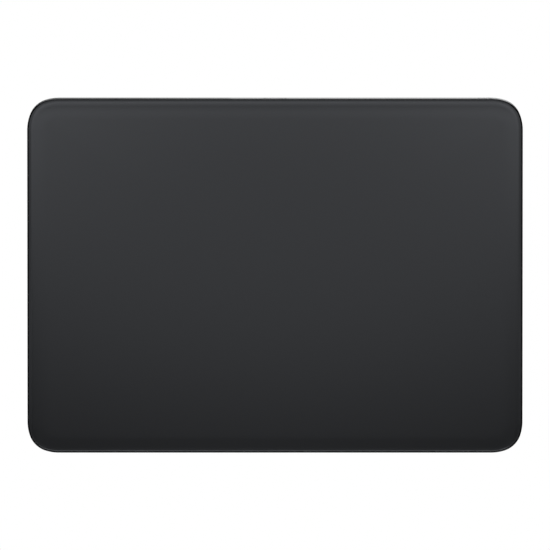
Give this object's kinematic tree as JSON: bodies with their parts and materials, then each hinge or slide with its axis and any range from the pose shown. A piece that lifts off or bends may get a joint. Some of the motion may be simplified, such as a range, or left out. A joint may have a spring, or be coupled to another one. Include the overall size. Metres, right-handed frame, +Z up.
{
  "type": "trackpad",
  "caption": "Wireless desktop trackpad: black glass touch plate floating on force sensors in a slim wedge-shaped aluminium case, with a charging socket and a power switch at the rear.",
  "frame": {"origin": "on the desk, under the middle of the object; the four feet stand on z = 0", "axes": "+X to the user's right, +Y away from the user towards the taller rear edge with the socket and the switch, +Z up"},
  "size_m": [0.16, 0.1149, 0.0109],
  "materials": {
    "glass_black": "etched matte black",
    "aluminium_silver": "bead-blasted, anodised",
    "cover_plastic": "fine matte",
    "foot_plastic": "smooth, low friction",
    "adhesive": "double-sided tape",
    "board_black": "black solder mask",
    "board_green": "green solder mask",
    "chip_black": "moulded epoxy",
    "passives": "ceramic with tinned ends",
    "connector": "moulded, ivory",
    "flex": "polyimide film",
    "gel": "soft silicone, translucent grey",
    "spring_steel": "blanked strip",
    "steel_plate": "pressed sheet",
    "soft_iron": "laminated stack, dark oxide",
    "screw_steel": "machine screw",
    "shield_steel": "tinned sheet",
    "copper": "enamelled wire",
    "gold": "plated contact",
    "battery_foil": "laminated pouch foil",
    "port_black": "moulded liquid-crystal polymer",
    "switch_silver": "painted to match the case",
    "switch_green": "printed marker",
    "switch_black": "moulded",
    "cable_grey": "coaxial jacket"
  },
  "bodies": {
    "housing": {"housing": "aluminium_silver", "bottom_cover": "cover_plastic", "cover_adhesive": "adhesive", "foot_front_left": "foot_plastic", "foot_front_right": "foot_plastic", "foot_rear_left": "foot_plastic", "foot_rear_right": "foot_plastic", "flexure_front_left": "spring_steel", "flexure_front_right": "spring_steel", "flexure_rear_left": "spring_steel", "flexure_rear_right": "spring_steel", "strain_gauges": "flex", "flexure_screws": "screw_steel", "force_sensor_flex": "flex", "actuator_core": "soft_iron", "actuator_coils": "copper", "actuator_bracket": "steel_plate", "actuator_screws": "screw_steel", "actuator_flex": "flex", "battery_cell": "battery_foil", "battery_adhesive": "adhesive", "battery_protection_board": "board_green", "battery_flex": "flex", "main_board": "board_green", "radio_shield": "shield_steel", "radio_chip": "chip_black", "microcontroller": "chip_black", "charger_chip": "chip_black", "force_converter": "chip_black", "board_passives": "passives", "board_connectors": "connector", "board_screws": "screw_steel", "plate_flex": "flex", "port_shell": "port_black", "port_contact_block": "port_black", "port_contacts": "gold", "port_screws": "screw_steel", "port_flex": "flex", "switch_body": "switch_black", "switch_bracket": "steel_plate", "switch_screws": "screw_steel", "switch_flex": "flex", "antenna_carrier": "port_black", "antenna_screws": "screw_steel", "antenna_trace": "copper", "antenna_cable": "cable_grey"},
    "suspension": {"gel_pads": "gel"},
    "touch_plate": {"glass_plate": "glass_black", "glass_adhesive": "adhesive", "sensor_board": "board_black", "plate_stiffener": "steel_plate", "attraction_bar": "soft_iron", "touch_controller": "chip_black", "sensor_passives": "passives", "sensor_connector": "connector"},
    "power_switch": {"power_switch_knob": "switch_silver", "switch_on_marker": "switch_green", "switch_stem": "switch_black"}
  },
  "joints": [
    {"name": "plate_press", "type": "slide", "parent": "housing", "child": "suspension", "axis": [0, 0.0521, -0.9986], "range_m": [0, 0.0002], "stiffness_N_per_m": 8000, "springref_m": -0.0001, "deforming": ["flexure_front_left", "flexure_front_right", "flexure_rear_left", "flexure_rear_right", "plate_flex"]},
    {"name": "haptic_shift", "type": "slide", "parent": "suspension", "child": "touch_plate", "axis": [0, 0.9986, 0.0521], "range_m": [-0.00015, 0.00015], "stiffness_N_per_m": 8000},
    {"name": "power_switch_slide", "type": "slide", "parent": "housing", "child": "power_switch", "axis": [-1, 0, 0], "range_m": [0, 0.002]}
  ]
}
